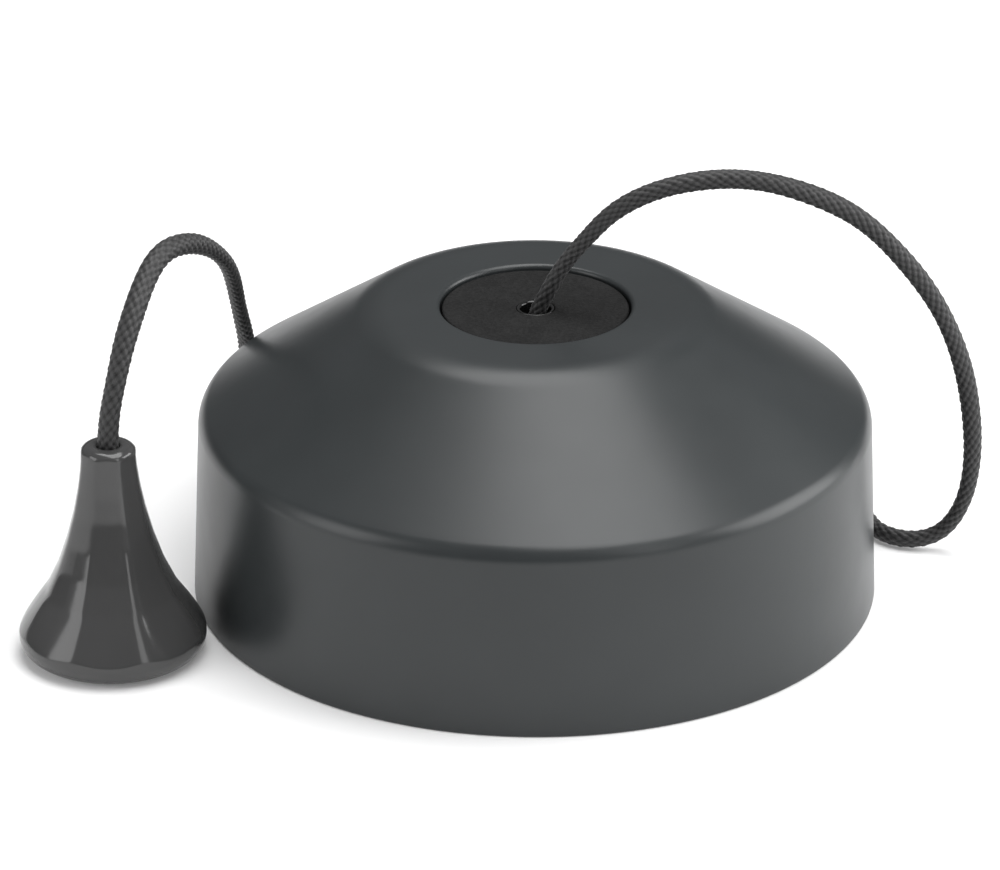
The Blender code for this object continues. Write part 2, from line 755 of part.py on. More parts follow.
def smooth_curve(route, spacing, start_direction, end_direction):
    """Points about spacing apart on a cubic spline through the route, with set end directions."""
    places = np.array(route, float)
    gaps = np.linalg.norm(np.diff(places, axis=0), axis=1)
    slopes = np.diff(places, axis=0) / gaps[:, None]
    count = len(places)
    system = np.zeros((count, count))
    target = np.zeros((count, 3))
    system[0, :2] = 2 * gaps[0], gaps[0]
    target[0] = 6 * (slopes[0] - np.array(start_direction))
    system[-1, -2:] = gaps[-1], 2 * gaps[-1]
    target[-1] = 6 * (np.array(end_direction) - slopes[-1])
    for i in range(1, count - 1):
        system[i, i - 1 : i + 2] = gaps[i - 1], 2 * (gaps[i - 1] + gaps[i]), gaps[i]
        target[i] = 6 * (slopes[i] - slopes[i - 1])
    bends = np.linalg.solve(system, target)
    fine = []
    for i in range(count - 1):
        for u in np.linspace(0, 1, 24, endpoint=False):
            v = 1 - u
            curve = ((v**3 - v) * bends[i] + (u**3 - u) * bends[i + 1]) * gaps[i] ** 2 / 6
            fine.append(v * places[i] + u * places[i + 1] + curve)
    fine.append(places[-1])
    fine = np.array(fine)
    along = np.concatenate([[0], np.cumsum(np.linalg.norm(np.diff(fine, axis=0), axis=1))])
    at = np.linspace(0, along[-1], round(along[-1] / spacing) + 1)
    return np.stack([np.interp(at, along, fine[:, k]) for k in range(3)], axis=1)


def outside_coil(points):
    """The points of a run that stay clear of the coil's outer side."""
    half_bundle = COIL_PITCH * COIL_COLUMNS / 2
    reach = COIL_MIDDLE_RADIUS + half_bundle + CORD_RADIUS + GAP
    far = np.hypot(points[:, 0] - COIL_CENTRE[0], points[:, 1] - COIL_CENTRE[1])
    return points[far > reach]


def make_cord_runs():
    lead = smooth_curve(in_mm(*LEAD_ROUTE), CORD_POINT_SPACING, (0, 0, 1), (0, 1, 0))
    tail = smooth_curve(in_mm(*TAIL_ROUTE), CORD_POINT_SPACING, (0, -1, 0), (0, 0, -1))
    straight_start = lead[0] + np.array([0, 0, 0.5 * MM])
    lead = np.insert(lead, 1, straight_start, axis=0)
    tube("cord_lead", outside_coil(lead), CORD_RADIUS, "charcoal_braid")
    tube("cord_tail", outside_coil(tail), CORD_RADIUS, "charcoal_braid")


def make_coil():
    """The outer shape of the coiled cord, and the tie that holds it."""
    half_bundle = COIL_PITCH * COIL_COLUMNS / 2
    inner = COIL_MIDDLE_RADIUS - half_bundle
    outer = COIL_MIDDLE_RADIUS + half_bundle
    low = 0.05 * MM
    top = low + COIL_PITCH * COIL_LAYERS
    edge = 1.0 * MM
    outline = rounded(
        [(inner, top, edge), (outer, top, edge), (outer, low, edge), (inner, low, edge)], steps=2
    )
    turned("cord_coil", outline, "charcoal_braid", steps=40, centre=(*COIL_CENTRE, 0))
    inside, outside = inner - 0.45 * MM, outer + GAP
    band = 0.8 * MM
    outline = [
        (outside + band, low), (outside + band, top + GAP + band), (inside - band, top + GAP + band),
        (inside - band, low), (inside, low), (inside, top + GAP), (outside, top + GAP),
        (outside, low),
    ]
    plate("coil_tie", [outline], 5.0 * MM, (*COIL_CENTRE, 0), "YZ", "black_moulding")


def bell_side(z_mm):
    """The distance from the bell's axis to the middle of a facet, at a height, in millimetres."""
    heights = [0, 2.2, 2.75, 3.3, 3.9, 4.5, 5.05, 6.2, 7.35, 8.6, 12.0, 15.8, 19.5, 22.9, 25.8, 28.6]
    reaches = [12.2, 11.95, 11.8, 11.6, 11.35, 11.1, 10.75, 10.1, 9.35, 8.48, 6.89, 5.56, 4.57, 3.9,
               3.53, 3.4]
    return float(np.interp(z_mm, heights, reaches))


def make_bell():
    """The pull: a turned bell with eight facets, hollow below, with the cord knotted inside."""
    heights = [28.6, 25.8, 22.9, 19.5, 15.8, 12.0, 10.2, 8.6, 7.35, 6.2, 5.05, 4.5, 3.9, 3.3, 2.2, 0]
    corner = 1 / math.cos(math.pi / BELL_FACETS)
    side = [(bell_side(z) * corner * MM, z * MM) for z in heights]
    outline = [(0, BELL_HEIGHT), *side, (0, 0)]
    centre = (*BELL_XY, 0)
    bell = turned(
        "bell_pull",
        outline,
        "gloss_grey",
        steps=BELL_FACETS,
        closed=False,
        turn=math.pi / BELL_FACETS,
    )
    bell.modifiers["Turn"].use_smooth_shade = False
    bell.location = centre
    body = rounded(
        [
            (0, BELL_HEIGHT),
            (3.7 * MM, BELL_HEIGHT, 1.3 * MM),
            (3.7 * MM, 26.8 * MM),
            (BELL_RIM_RADIUS, 11.0 * MM),
            (BELL_RIM_RADIUS, 0, 2.3 * MM),
            (0, 0),
        ],
        steps=5,
    )
    limit = turned("bell_turned_limit", body, steps=40, closed=False, centre=centre)
    combine(bell, limit, "INTERSECT")
    hollow = in_mm(
        (0, 30.0), (1.55, 30.0), (1.55, 17.3), (4.0, 17.3), (4.6, 14.5), (5.9, 10.5), (7.6, 6.5),
        (9.2, 3.0), (9.8, -1.0), (0, -1.0),
    )
    cut(bell, turned("bell_hollow_cutter", hollow, steps=28, closed=False, centre=centre))
    egg("bell_knot", 2.6 * MM, 1.85 * MM, (*BELL_XY, 15.1 * MM), "charcoal_braid")
    return bell


def build():
    make_cover()
    make_locking_ring()
    make_back_plate()
    make_switch_housing()
    make_centre_disc()
    make_cord_bush()
    make_housing_screws()
    make_mechanism_frame()
    make_plunger_spring()
    make_holding_pawl()
    make_rocker_fittings()
    make_contact_strips()
    make_terminals()
    make_terminal_tray()
    make_cord_runs()
    make_coil()
    make_bell()
    plunger_pieces = [make_plunger(), make_drive_pawl(), *make_inner_cord()]
    move_with("pull_axis", (0, 0, PLUNGER_FLANGE[1]), plunger_pieces)
    move_with("ratchet_axis", (0, SHAFT_Y, SHAFT_Z), make_ratchet())
    move_with("rocker_axis", (0, ROCKER_Y, ROCKER_Z), make_rocker())


clear_scene()
parts = make_collection("pull_cord_switch")
cutters = make_collection("cutters")
build()
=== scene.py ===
"""Studio scene of a pull cord switch lying on its ceiling face, with its cord looped behind it."""

import json
import math

import bpy
import numpy as np
from mathutils import Matrix, Vector


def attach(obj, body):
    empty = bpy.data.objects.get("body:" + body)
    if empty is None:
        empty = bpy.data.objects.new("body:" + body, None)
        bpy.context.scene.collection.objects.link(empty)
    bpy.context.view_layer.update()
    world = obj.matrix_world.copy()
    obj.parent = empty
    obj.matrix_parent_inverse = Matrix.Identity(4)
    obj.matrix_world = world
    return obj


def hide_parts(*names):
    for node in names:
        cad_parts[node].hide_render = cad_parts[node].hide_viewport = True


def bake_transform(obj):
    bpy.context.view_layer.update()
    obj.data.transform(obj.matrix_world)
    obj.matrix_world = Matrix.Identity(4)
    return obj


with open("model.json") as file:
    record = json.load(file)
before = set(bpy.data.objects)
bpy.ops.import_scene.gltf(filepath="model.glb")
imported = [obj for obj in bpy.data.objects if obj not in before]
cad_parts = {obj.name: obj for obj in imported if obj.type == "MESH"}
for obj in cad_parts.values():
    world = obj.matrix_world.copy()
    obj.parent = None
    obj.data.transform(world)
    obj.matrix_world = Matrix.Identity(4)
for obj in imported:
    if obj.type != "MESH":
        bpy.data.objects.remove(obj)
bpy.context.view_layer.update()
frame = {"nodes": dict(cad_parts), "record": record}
scene = bpy.context.scene
MM = 0.001

# ---------------------------------------------------------------- camera

CAMERA_PLACE = (-0.004493, -0.739194, 0.365462)
CAMERA_FORWARD = Vector((0.0, 0.906264, -0.422712))
CAMERA_RIGHT = Vector((0.9999993, 0.0004887, 0.0010478))
CAMERA_LENS = 228.94
CAMERA_SENSOR = 36.0


def make_camera():
    """The camera, with the place and lens that fit the circles in the photo."""
    camera = bpy.data.objects.new("camera", bpy.data.cameras.new("camera"))
    scene.collection.objects.link(camera)
    forward = CAMERA_FORWARD.normalized()
    right = (CAMERA_RIGHT - forward * CAMERA_RIGHT.dot(forward)).normalized()
    up = right.cross(forward)
    turn = Matrix((right, up, -forward)).transposed()
    camera.matrix_world = Matrix.Translation(CAMERA_PLACE) @ turn.to_4x4()
    camera.data.lens = CAMERA_LENS
    camera.data.sensor_width = CAMERA_SENSOR
    camera.data.clip_start = 0.01
    camera.data.clip_end = 20
    scene.camera = camera


make_camera()

# ---------------------------------------------------------------- cord's route

CORD_DIAMETER = 2.5
LEAD_ROUTE = [
    (0, 0, 36.3), (0.3, 0, 38.0), (1.45, -0.15, 40.6), (3.4, 0.2, 44.1), (6.3, 0.6, 47.7),
    (9.3, 1.0, 50.8), (13.7, 1.5, 53.4), (19.6, 2.1, 54.95), (27.2, 2.8, 54.95), (34.3, 3.5, 52.9),
    (40.8, 4.2, 49.3), (46.4, 5.0, 43.7), (51.3, 5.8, 36.7), (54.7, 6.4, 28.7), (56.5, 7.0, 19.6),
    (56.6, 7.8, 11.3), (55.1, 8.4, 5.6), (52.9, 8.8, 2.7), (50.2, 9.1, 1.55), (47.6, 9.9, 1.32),
    (45.2, 12.2, 1.3), (43.9, 16.0, 1.3), (41.3, 22.6, 1.3), (34.6, 32.4, 1.3), (26.6, 42.2, 1.3),
    (20.3, 51.5, 1.3), (17.8, 59.5, 1.3), (17.55, 65.0, 1.3),
]
TAIL_ROUTE = [
    (-17.55, 65, 8.95), (-18.2, 59.8, 8.3), (-20.6, 54.8, 5.6), (-25.2, 50.6, 2.4),
    (-30.6, 48.2, 1.4), (-35.3, 45.2, 2.0), (-37.8, 40.4, 5.4), (-38.3, 35.4, 11.0),
    (-38.1, 30.4, 16.9), (-38.0, 25.6, 22.7), (-38.5, 20.8, 28.7), (-38.9, 16.0, 34.3),
    (-39.7, 10.5, 40.1), (-41.8, 4.5, 44.9), (-44.4, -1.0, 47.7), (-47.2, -6.0, 48.2),
    (-48.9, -9.8, 46.5), (-50.1, -13.2, 44.1), (-51.3, -16.1, 40.8), (-52.35, -18.4, 36.6),
    (-53.15, -19.6, 32.5), (-53.45, -19.9, 28.8), (-53.45, -19.9, 23.0), (-53.45, -19.9, 17.3),
]
CORD_START = (0.0, 0.0, 25.2)
CORD_END = (-53.45, -19.9, 15.4)
COIL_CENTRE = (0.0, 65.0)
COIL_COLUMN_RADII = (12.45, 15.0, 17.55)
COIL_PITCH = 2.55
COIL_TURNS = 11.5
# Each turn's column and layer, and how much of a turn, in degrees, the cord takes to cross to the next.
COIL_ORDER = [
    (2, 0), (1, 0), (0, 0), (0, 1), (1, 1), (2, 1),
    (2, 2), (1, 2), (0, 2), (0, 3), (1, 3), (2, 3),
]
COIL_CROSSING = 50.0
# Height of the cord's centre where it lies on the table.
GROUND_HEIGHT = 1.3


def smooth_curve(route, start_direction, end_direction):
    """Points about 0.3 mm apart on a cubic spline through the route, with set end directions."""
    places = np.array(route, float)
    gaps = np.linalg.norm(np.diff(places, axis=0), axis=1)
    slopes = np.diff(places, axis=0) / gaps[:, None]
    count = len(places)
    system = np.zeros((count, count))
    target = np.zeros((count, 3))
    system[0, :2] = 2 * gaps[0], gaps[0]
    target[0] = 6 * (slopes[0] - np.array(start_direction))
    system[-1, -2:] = gaps[-1], 2 * gaps[-1]
    target[-1] = 6 * (np.array(end_direction) - slopes[-1])
    for i in range(1, count - 1):
        system[i, i - 1 : i + 2] = gaps[i - 1], 2 * (gaps[i - 1] + gaps[i]), gaps[i]
        target[i] = 6 * (slopes[i] - slopes[i - 1])
    bends = np.linalg.solve(system, target)
    fine = []
    for i in range(count - 1):
        for u in np.linspace(0, 1, max(3, int(gaps[i] / 0.3)), endpoint=False):
            v = 1 - u
            curve = ((v**3 - v) * bends[i] + (u**3 - u) * bends[i + 1]) * gaps[i] ** 2 / 6
            fine.append(v * places[i] + u * places[i + 1] + curve)
    fine.append(places[-1])
    return np.array(fine)


def coil_line():
    """The tied coil: turns side by side in three columns and four layers, crossing in one place."""
    points = []
    for degrees in np.arange(0, 360 * COIL_TURNS + 0.01, 1.5):
        turn = min(int(degrees // 360), len(COIL_ORDER) - 1)
        left = 360 * (turn + 1) - degrees
        here = COIL_ORDER[turn]
        after = COIL_ORDER[min(turn + 1, len(COIL_ORDER) - 1)]
        part = max(0.0, 1 - left / COIL_CROSSING)
        part = part * part * (3 - 2 * part)
        radius = COIL_COLUMN_RADII[here[0]] * (1 - part) + COIL_COLUMN_RADII[after[0]] * part
        height = GROUND_HEIGHT + COIL_PITCH * (here[1] * (1 - part) + after[1] * part)
        angle = math.radians(degrees)
        x = COIL_CENTRE[0] + radius * math.cos(angle)
        points.append((x, COIL_CENTRE[1] + radius * math.sin(angle), height))
    return np.array(points)


def line_length(points):
    """How far along the line each of its points lies."""
    return np.concatenate([[0], np.cumsum(np.linalg.norm(np.diff(points, axis=0), axis=1))])


def cord_line():
    """The cord's whole centreline, from the knot in the switch to the knot in the bell."""
    rise = np.linspace(CORD_START, LEAD_ROUTE[0], 30)[:-1]
    lead = smooth_curve(LEAD_ROUTE, (0, 0, 1), (0, 1, 0))
    coil = coil_line()
    tail = smooth_curve(TAIL_ROUTE, (0, -1, 0), (0, 0, -1))
    drop = np.linspace(TAIL_ROUTE[-1], CORD_END, 8)[1:]
    line = np.concatenate([rise, lead, coil[1:-1], tail, drop])
    marks = np.cumsum([len(rise), len(lead), len(coil) - 2, len(tail)])
    return line, marks


# ---------------------------------------------------------------- meshes


def surface(name, rows, wrap_rows=False, corners=None):
    """A smooth mesh from rows of points, each row closed on itself; corners are strand coordinates."""
    rows = np.asarray(rows, float)
    count, around = rows.shape[:2]
    i = np.arange(count if wrap_rows else count - 1)[:, None]
    j = np.arange(around)[None, :]
    after, beside = (i + 1) % count, (j + 1) % around
    faces = np.stack(
        [i * around + j, i * around + beside, after * around + beside, after * around + j], axis=-1
    ).reshape(-1, 4)
    points = rows.reshape(-1, 3) * MM
    a, b, c, d = (points[faces[:, k]] for k in range(4))
    volume = np.einsum("ij,ij->i", a, np.cross(b, c)) + np.einsum("ij,ij->i", a, np.cross(c, d))
    flipped = volume.sum() < 0
    if flipped:
        faces = faces[:, ::-1]
    mesh = bpy.data.meshes.new(name)
    mesh.vertices.add(len(points))
    mesh.vertices.foreach_set("co", points.astype(np.float32).ravel())
    mesh.loops.add(faces.size)
    mesh.loops.foreach_set("vertex_index", faces.astype(np.int32).ravel())
    mesh.polygons.add(len(faces))
    mesh.polygons.foreach_set("loop_start", np.arange(0, faces.size, 4, dtype=np.int32))
    if corners is not None:
        wide, long = (
            np.stack([m[i, j], m[i, j + 1], m[i + 1, j + 1], m[i + 1, j]], axis=-1).reshape(-1, 4)
            for m in corners
        )
        if flipped:
            wide, long = wide[:, ::-1], long[:, ::-1]
        layer = mesh.uv_layers.new(name="strands")
        layer.data.foreach_set("uv", np.stack([wide, long], axis=-1).astype(np.float32).ravel())
    mesh.update(calc_edges=True)
    mesh.shade_smooth()
    obj = bpy.data.objects.new(name, mesh)
    scene.collection.objects.link(obj)
    return obj


def rounded(corners, steps=8):
    """The outline through corners given as (x, y) or (x, y, fillet radius)."""
    outline = []
    for i, corner in enumerate(corners):
        here = Vector(corner[:2])
        if len(corner) == 2:
            outline.append(tuple(here))
            continue
        before = (Vector(corners[i - 1][:2]) - here).normalized()
        after = (Vector(corners[(i + 1) % len(corners)][:2]) - here).normalized()
        half = before.angle(after) / 2
        reach = corner[2] / math.tan(half)
        middle = here + (before + after).normalized() * corner[2] / math.sin(half)
        start = here + before * reach - middle
        turn = math.atan2(before.x * after.y - before.y * after.x, -before.dot(after))
        for k in range(steps + 1):
            angle = -turn * k / steps
            cos, sin = math.cos(angle), math.sin(angle)
            arm = Vector((start.x * cos - start.y * sin, start.x * sin + start.y * cos))
            outline.append(tuple(middle + arm))
    return outline


def closer(outline, spacing, closed=True):
    """The same outline with points no further apart than spacing."""
    dense = []
    ends = list(zip(outline, outline[1:]))
    if closed:
        ends.append((outline[-1], outline[0]))
    for a, b in ends:
        count = max(1, math.ceil(math.dist(a, b) / spacing))
        for k in range(count):
            dense.append((a[0] + (b[0] - a[0]) * k / count, a[1] + (b[1] - a[1]) * k / count))
    if not closed:
        dense.append(outline[-1])
    return dense


def turned(name, outline, segments, spacing):
    """A ring turned about the switch's axis from a closed outline of (radius, height)."""
    outline = closer(outline, spacing)
    angles = np.linspace(0, 2 * np.pi, segments, endpoint=False)
    rows = [
        np.stack([r * np.cos(angles), r * np.sin(angles), np.full(segments, z)], axis=1)
        for r, z in outline
    ]
    obj = surface(name, rows, wrap_rows=True)
    obj.data.set_sharp_from_angle(angle=math.radians(40))
    return obj


# ---------------------------------------------------------------- materials


class Shader:
    """A small helper that builds a material's node tree."""

    def __init__(self, name):
        self.material = bpy.data.materials.new(name)
        self.material.use_nodes = True
        self.tree = self.material.node_tree
        self.principled = self.tree.nodes["Principled BSDF"]
        self.place = self.add("ShaderNodeTexCoord").outputs["Object"]

    def add(self, kind, **settings):
        node = self.tree.nodes.new(kind)
        for key, value in settings.items():
            setattr(node, key, value)
        return node

    def link(self, source, target):
        self.tree.links.new(source, target)

    def set(self, **inputs):
        for key, value in inputs.items():
            self.principled.inputs[key.replace("_", " ")].default_value = value

    def noise(self, scale, detail=3.0, stretch=None, roughness=0.5):
        place = self.place
        if stretch is not None:
            mapping = self.add("ShaderNodeMapping")
            mapping.inputs["Scale"].default_value = stretch
            self.link(place, mapping.inputs["Vector"])
            place = mapping.outputs["Vector"]
        noise = self.add("ShaderNodeTexNoise")
        noise.inputs["Scale"].default_value = scale
        noise.inputs["Detail"].default_value = detail
        noise.inputs["Roughness"].default_value = roughness
        self.link(place, noise.inputs["Vector"])
        return noise.outputs["Fac"]

    def ramp(self, source, low, high, start=0.3, end=0.7):
        ramp = self.add("ShaderNodeValToRGB")
        ramp.color_ramp.elements[0].position = start
        ramp.color_ramp.elements[0].color = low
        ramp.color_ramp.elements[1].position = end
        ramp.color_ramp.elements[1].color = high
        self.link(source, ramp.inputs["Fac"])
        return ramp.outputs["Color"]

    def range(self, source, low, high):
        spread = self.add("ShaderNodeMapRange")
        spread.inputs["To Min"].default_value = low
        spread.inputs["To Max"].default_value = high
        self.link(source, spread.inputs["Value"])
        return spread.outputs["Result"]

    def math(self, operation, a, b=None):
        node = self.add("ShaderNodeMath", operation=operation)
        for k, value in enumerate((a, b)):
            if value is None:
                continue
            if isinstance(value, (int, float)):
                node.inputs[k].default_value = value
            else:
                self.link(value, node.inputs[k])
        return node.outputs[0]

    def colour(self, source):
        self.link(source, self.principled.inputs["Base Color"])

    def roughness(self, source):
        self.link(source, self.principled.inputs["Roughness"])

    def bump(self, height, distance, strength=1.0, onto=None):
        node = self.add("ShaderNodeBump")
        node.inputs["Distance"].default_value = distance
        node.inputs["Strength"].default_value = strength
        self.link(height, node.inputs["Height"])
        if onto is not None:
            self.link(onto, node.inputs["Normal"])
        self.link(node.outputs["Normal"], self.principled.inputs["Normal"])
        return node.outputs["Normal"]


def grey(value, tint=(1, 1, 1)):
    """A grey of one value, tinted, as red, green, blue and alpha."""
    return (value * tint[0], value * tint[1], value * tint[2], 1.0)


PAINT_TINT = (0.90, 1.02, 1.06)


def paint():
    """Satin powder paint: a fine, shallow orange peel and a faint unevenness of gloss."""
    made = Shader("anthracite_paint")
    cloud = made.noise(60, 2)
    made.colour(made.ramp(cloud, grey(0.028, PAINT_TINT), grey(0.032, PAINT_TINT)))
    made.roughness(made.range(made.noise(220, 4), 0.3, 0.36))
    made.set(IOR=1.46)
    peel = made.bump(made.noise(900, 2), 0.00002, 0.22)
    made.bump(made.noise(6000, 1), 0.000004, 0.35, onto=peel)
    return made.material


def moulding(name, value, tint=(1, 1, 1), grain=2600, depth=0.00006, rough=(0.6, 0.8), level=0.5):
    """Moulded plastic with a spark-eroded grain."""
    made = Shader(name)
    cloud = made.math("MULTIPLY", made.noise(180, 4), 0.3)
    grit = made.math("MULTIPLY", made.noise(grain, 4), 0.7)
    speck = made.math("ADD", cloud, grit)
    made.colour(made.ramp(speck, grey(value * 0.55, tint), grey(value * 1.6, tint), 0.4, 0.62))
    made.roughness(made.range(made.noise(grain, 2), *rough))
    made.set(Specular_IOR_Level=level)
    made.bump(made.noise(grain, 3, roughness=0.65), depth, 0.8)
    return made.material


def gloss(name, value, rough):
    """Polished moulding with a slight waviness."""
    made = Shader(name)
    made.colour(made.ramp(made.noise(90, 3), grey(value * 0.96), grey(value * 1.04)))
    made.roughness(made.range(made.noise(500, 3), rough * 0.8, rough * 1.3))
    made.set(IOR=1.52)
    made.bump(made.noise(160, 1), 0.00003, 0.12)
    return made.material


def metal(name, colour, rough=0.28, stretch=(1, 1, 18)):
    """Drawn or turned metal: lines of one direction and duller patches."""
    made = Shader(name)
    lines = made.noise(700, 4, stretch)
    dark = tuple(0.72 * c for c in colour) + (1,)
    made.colour(made.ramp(made.noise(260, 5), dark, (*colour, 1), 0.25, 0.6))
    made.roughness(made.range(lines, rough * 0.75, rough * 1.6))
    made.set(Metallic=1.0)
    made.bump(lines, 0.00002, 0.3)
    return made.material


# Fibre bundles side by side in one strand.
FIBRES = 4.0


def braid():
    """Polyester braid: each strand is a flat bundle of fibres, with painted shade in the hollows
    between.
    """
    made = Shader("charcoal_braid")
    layer = made.add("ShaderNodeUVMap", uv_map="strands")
    parts = made.add("ShaderNodeSeparateXYZ")
    made.link(layer.outputs["UV"], parts.inputs[0])
    u, v = parts.outputs[0], parts.outputs[1]
    cell = made.math("ADD", made.math("FLOOR", u), made.math("FLOOR", v))
    over = made.math("FLOORED_MODULO", cell, 2.0)
    lines_u = made.math("SINE", made.math("MULTIPLY", u, 2 * math.pi * FIBRES))
    lines_v = made.math("SINE", made.math("MULTIPLY", v, 2 * math.pi * FIBRES))
    under = made.math("SUBTRACT", 1.0, over)
    shown_u = made.math("MULTIPLY", lines_u, under)
    shown_v = made.math("MULTIPLY", lines_v, over)
    lines = made.math("ADD", shown_u, shown_v)
    fuzz = made.noise(7000, 3)
    rise = made.add("ShaderNodeAttribute", attribute_name="rise").outputs["Fac"]
    tone = made.math("MULTIPLY", made.range(lines, 0.92, 1.05), made.range(fuzz, 0.75, 1.25))
    # Painted shade: the stored rise darkens the colour in the hollows between the strands.
    tone = made.math("MULTIPLY", tone, rise)
    made.colour(made.ramp(tone, grey(0.0035), grey(0.052, (1.0, 0.99, 1.0)), 0.42, 1.02))
    made.set(Roughness=0.5, Sheen_Weight=0.12, Sheen_Roughness=0.4, IOR=1.45)
    made.bump(made.math("ADD", lines, made.math("MULTIPLY", fuzz, 1.2)), 0.00001, 0.5)
    return made.material


def floor_paper():
    """The white table: it glows faintly, so that it stays white where the lights fall off."""
    made = Shader("floor_paper")
    made.colour(made.ramp(made.noise(14, 3), grey(0.86), grey(0.875)))
    made.set(Roughness=0.9, Specular_IOR_Level=0.1, Emission_Strength=0.12)
    made.principled.inputs["Emission Color"].default_value = (1, 1, 1, 1)
    made.bump(made.noise(400, 3), 0.00002, 0.2)
    return made.material


MATERIALS = {
    "anthracite_paint": paint(),
    "black_moulding": moulding("black_moulding", 0.0095, grain=2600, depth=0.0002, level=0.2),
    "gloss_black": gloss("gloss_black", 0.006, rough=0.09),
    "grey_moulding": moulding("grey_moulding", 0.28, grain=1800),
    "gloss_grey": gloss("gloss_grey", 0.054, rough=0.12),
    "acetal_white": moulding("acetal_white", 0.72, (1, 0.98, 0.94), rough=(0.35, 0.5), depth=0.00002),
    "spring_steel": metal("spring_steel", (0.6, 0.6, 0.61), 0.22),
    "brass": metal("brass", (0.72, 0.53, 0.25), 0.27, (18, 1, 1)),
    "silver_contact": metal("silver_contact", (0.86, 0.85, 0.82), 0.2),
    "copper_strip": metal("copper_strip", (0.75, 0.44, 0.3), 0.3, (1, 18, 1)),
    "zinc_screw": metal("zinc_screw", (0.68, 0.68, 0.64), 0.32),
    "charcoal_braid": braid(),
}


def finish_with(obj, slot):
    """Gives a piece its material."""
    obj.data.materials.clear()
    obj.data.materials.append(MATERIALS[slot])
    return obj


def finish_frame():
    """Gives every piece of the frame the material that its record names."""
    slots = {entry["node"]: entry["material_slot"] for entry in frame["record"]["subparts"]}
    for name, node in frame["nodes"].items():
        node.data.materials.clear()
        node.data.materials.append(MATERIALS[slots[name]])


# ---------------------------------------------------------------- casing


def make_cover():
    """The turned cover: upright wall, cone, flat top, and the short collar round the hole."""
    outline = rounded(
        [
            (12.2, 35.93, 0.3), (12.2, 39.13, 0.6), (21.2, 39.13, 8.0), (43.07, 24.5, 2.9),
            (44.0, 0.0, 0.25), (42.8, 0.0, 0.25), (41.9, 23.9, 1.7), (20.8, 37.93, 6.8),
            (13.4, 37.93), (13.4, 35.93, 0.3),
        ],
        steps=14,
    )
    cover = turned("cover_shell", outline, segments=256, spacing=0.8)
    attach(cover, "base")
    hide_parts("cover")
    finish_with(cover, "anthracite_paint")


def make_disc():
    """The finely grained disc in the cover's hole."""
    outline = rounded([(2.45, 38.6, 0.2), (11.92, 38.6, 0.3), (11.92, 36.9), (2.45, 36.9)], steps=5)
    disc = turned("disc_face", outline, segments=160, spacing=0.6)
    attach(disc, "base")
    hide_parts("centre_disc")
    finish_with(disc, "black_moulding")


def make_bush():
    """The glossy bush that the cord runs through, with a rounded mouth at both ends."""
    outline = rounded(
        [
            (1.95, 38.55, 0.3), (2.4, 38.55, 0.1), (2.4, 36.7), (2.9, 36.6), (2.9, 34.7),
            (4.3, 34.7, 0.2), (4.3, 33.5, 0.2), (1.95, 33.5, 0.45),
        ],
        steps=8,
    )
    bush = turned("bush_ring", outline, segments=96, spacing=0.5)
    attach(bush, "base")
    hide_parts("cord_bush")
    finish_with(bush, "gloss_black")


# ---------------------------------------------------------------- bell

BELL_CENTRE = (-53.45, -19.9)
BELL_FACETS = 8
# Half of the angle, in degrees, over which one facet rounds into the next.
BELL_RIDGE = 8.0
BELL_HEIGHT = 28.6
BELL_COLLAR = 3.62
BELL_COLLAR_ROUND = 1.3
# Below the collar the turned limit opens this fast, so that the facets take over.
BELL_NECK = 3.78
BELL_NECK_HEIGHT = 26.4
BELL_NECK_SLOPE = 2.0
BELL_RIM = 11.85
BELL_RIM_ROUND = 2.4
BELL_BORE = 1.42
BELL_SIDES = 256
# How softly the facets run into the turned limit.
BELL_BLEND = 0.03
# The middle of a facet and the hollow below, as heights and distances from the axis.
BELL_SIDE_HEIGHTS = [
    0, 2.2, 2.75, 3.3, 3.9, 4.5, 5.05, 6.2,
    7.35, 8.6, 12.0, 15.8, 19.5, 22.9, 25.8, 28.6,
]
BELL_SIDE = [
    12.4, 12.2, 12.0, 11.75, 11.45, 11.1, 10.75, 10.0,
    9.2, 8.3, 6.75, 5.5, 4.55, 3.9, 3.53, 3.4,
]
BELL_HOLLOW = [
    (9.75, 0.05), (9.2, 3.0), (7.6, 6.5), (5.9, 10.5),
    (4.6, 14.5), (4.0, 17.1), (1.7, 17.3), (BELL_BORE, 17.5),
]


def bell_reach(height):
    """Distance from the bell's axis to the middle of a facet, smoothed between set heights."""
    heights = np.linspace(height - 0.9, height + 0.9, 13)
    weights = np.hanning(15)[1:-1]
    return float((np.interp(heights, BELL_SIDE_HEIGHTS, BELL_SIDE) * weights).sum() / weights.sum())


def bell_limit(height):
    """The turned limit: a rounded rim below and a rounded collar at the top."""
    if height < BELL_RIM_ROUND:
        drop = BELL_RIM_ROUND - height
        arc = math.sqrt(max(0.0, BELL_RIM_ROUND**2 - drop**2))
        return BELL_RIM - BELL_RIM_ROUND + arc - 0.25 * (drop / BELL_RIM_ROUND) ** 2
    shoulder = BELL_HEIGHT - BELL_COLLAR_ROUND
    if height > shoulder:
        arc = math.sqrt(max(0.0, BELL_COLLAR_ROUND**2 - (height - shoulder) ** 2))
        return BELL_COLLAR - BELL_COLLAR_ROUND + arc
    if height > BELL_HEIGHT - 2.0:
        return BELL_COLLAR
    return BELL_NECK + max(0.0, BELL_NECK_HEIGHT - height) * BELL_NECK_SLOPE


